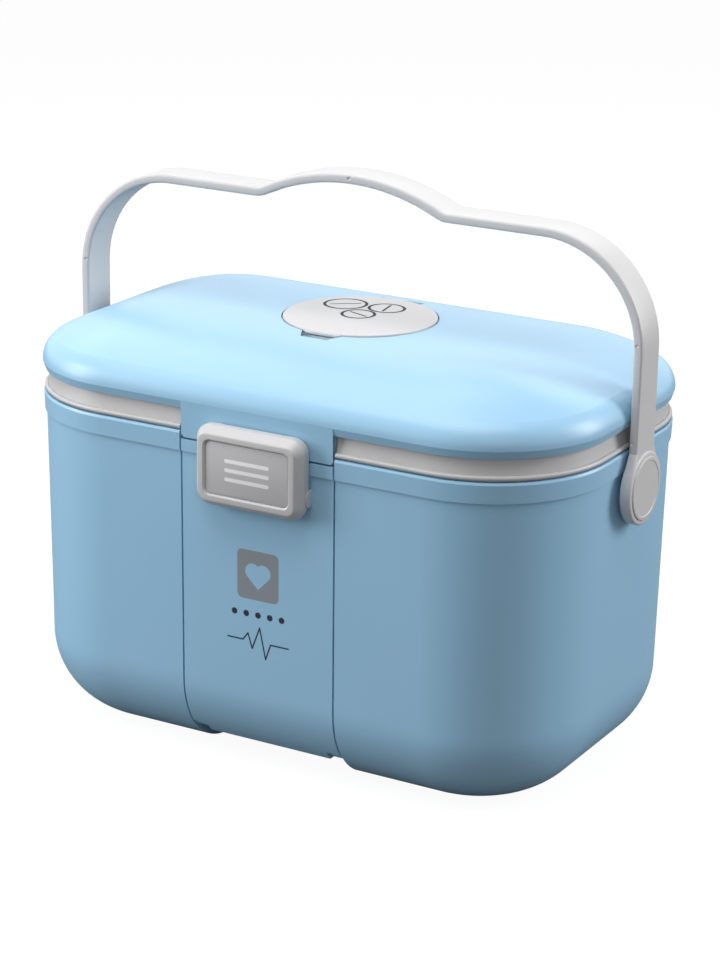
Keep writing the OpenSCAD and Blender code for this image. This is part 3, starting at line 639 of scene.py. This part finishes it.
# Handle: a flat bail of the grey plastic with rounded edges, its grip humped for
# the fingers. Each end flares into a round eye with a pocket for the cap.
band_t = 0.0050
band_w = 0.0212
band_edge_r = 0.0014
arm_x = 0.1647
arm_foot = 0.1750
corner_x = 0.1102
corner_z = 0.2319
flat_x = 0.05655
valley_z = 0.2984
hump_z = 0.182456
hump_half_angle = math.radians(26)
pivot_z = 0.1606
root_h = 0.0120
root_flare = 1.56
root_foot = 0.169
eye_r = 0.019
eye_x = (0.162, 0.168)
pocket_r = 0.0165
post_bore_r = 0.00505
dimple_r = 0.0011
dimple_y = -0.0110
dimples = (
    (-0.164, 0.186), (-0.164, 0.236), (-0.123, 0.282), (0, 0.300),
    (0.123, 0.282), (0.164, 0.236), (0.164, 0.186))
handle_grey = ((0.565, 0.561, 0.571), (0.580, 0.576, 0.585))
grip_plastic = moulded_plastic("grip_plastic", handle_grey, 0.40, 1100, 0.2)
bpy.ops.object.select_all(action="DESELECT")
bpy.ops.mesh.primitive_plane_add(size=1, location=(arm_x, 0, arm_foot))
bpy.context.object.scale = (band_t, band_w, 1)
bail = settle("bail_handle")
choose(bail, "VERT", lambda p: True)
bpy.ops.mesh.bevel(offset=band_edge_r, segments=4, affect="VERTICES")
bpy.ops.mesh.select_mode(type="EDGE")
bpy.ops.mesh.select_all(action="SELECT")
bpy.ops.mesh.delete(type="ONLY_FACE")
bpy.ops.mesh.select_all(action="SELECT")
bpy.ops.mesh.extrude_region_move(TRANSFORM_OT_translate={"value": (0, 0, corner_z - arm_foot)})
bpy.ops.mesh.spin(steps=24, angle=math.pi / 2, center=(corner_x, 0, corner_z), axis=(0, 1, 0))
bpy.ops.mesh.extrude_region_move(TRANSFORM_OT_translate={"value": (flat_x - corner_x, 0, 0)})
bpy.ops.mesh.spin(steps=7, angle=-hump_half_angle, center=(flat_x, 0, valley_z), axis=(0, 1, 0))
bpy.ops.mesh.spin(steps=14, angle=hump_half_angle, center=(0, 0, hump_z), axis=(0, 1, 0))
leave()
other_half = bail.modifiers.new("other_half", "MIRROR")
other_half.merge_threshold = 0.00001
bpy.ops.object.modifier_apply(modifier=other_half.name)
for side in (-1, 1):
    choose(bail, "EDGE", lambda a, b: max(a.z, b.z) < arm_foot + 0.00001 and a.x * side > 0)
    bpy.ops.mesh.edge_face_add()
    leave()
choose(bail, "VERT", lambda p: True)
bpy.ops.mesh.normals_make_consistent(inside=False)
leave()
for side in (-1, 1):
    root = slab("root", (band_t, band_w, root_h), (side * arm_x, 0, arm_foot))
    choose(root, "VERT", lambda p: p.z < arm_foot)
    bpy.ops.transform.resize(value=(1, root_flare, 1), center_override=(side * arm_x, 0, root_foot))
    leave()
    round_edges(root, 0.0012, 3)
    carve(bail, root, "UNION")
    eye = rod("eye", eye_r, [side * x for x in eye_x], 0, pivot_z, 96)
    round_edges(eye, 0.0010, 3)
    carve(bail, eye, "UNION")
    carve(bail, rod("cap_pocket", pocket_r, (side * 0.1645, side * 0.17), 0, pivot_z, 96))
    carve(bail, rod("post_bore", post_bore_r, (side * 0.16, side * 0.17), 0, pivot_z, 48))
for x, z in dimples:
    bpy.ops.object.select_all(action="DESELECT")
    bpy.ops.mesh.primitive_uv_sphere_add(
        segments=20, ring_count=12, radius=dimple_r, location=(x, dimple_y, z))
    carve(bail, settle("dimple"))
smooth(bail, 40)
dress(bail, grip_plastic)
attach(bail, "handle")
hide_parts("handle")

# Handle caps: round push-in covers of the same grey with a ringed face, hiding
# the washer and the pan-headed screw that hold each eye on its post.
cap_r = 0.0164
cap_x = (0.1645, 0.1688)
hollow_r = 0.0144
hollow_x = (0.1635, 0.1674)
face_margin = 0.0012
ring_w = 0.0004
ring_depth = 0.0003
for side, name in ((-1, "left"), (1, "right")):
    cap = rod("round_cap_" + name, cap_r, [side * x for x in cap_x], 0, pivot_z, 96)
    round_edges(cap, 0.0006, 3, 60)
    choose(cap, "FACE", lambda c, n: n.x * side > 0.99)
    bpy.ops.mesh.inset(thickness=face_margin, depth=0)
    bpy.ops.mesh.inset(thickness=ring_w, depth=-ring_depth)
    leave()
    carve(cap, rod("hollow", hollow_r, [side * x for x in hollow_x], 0, pivot_z, 64))
    smooth(cap, 20)
    dress(cap, grip_plastic)
    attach(cap, "handle")
    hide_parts("handle_cap_" + name)
    for piece in ("handle_washer_", "handle_screw_"):
        dress(node[piece + name], steel_wire)

bpy.context.view_layer.update()
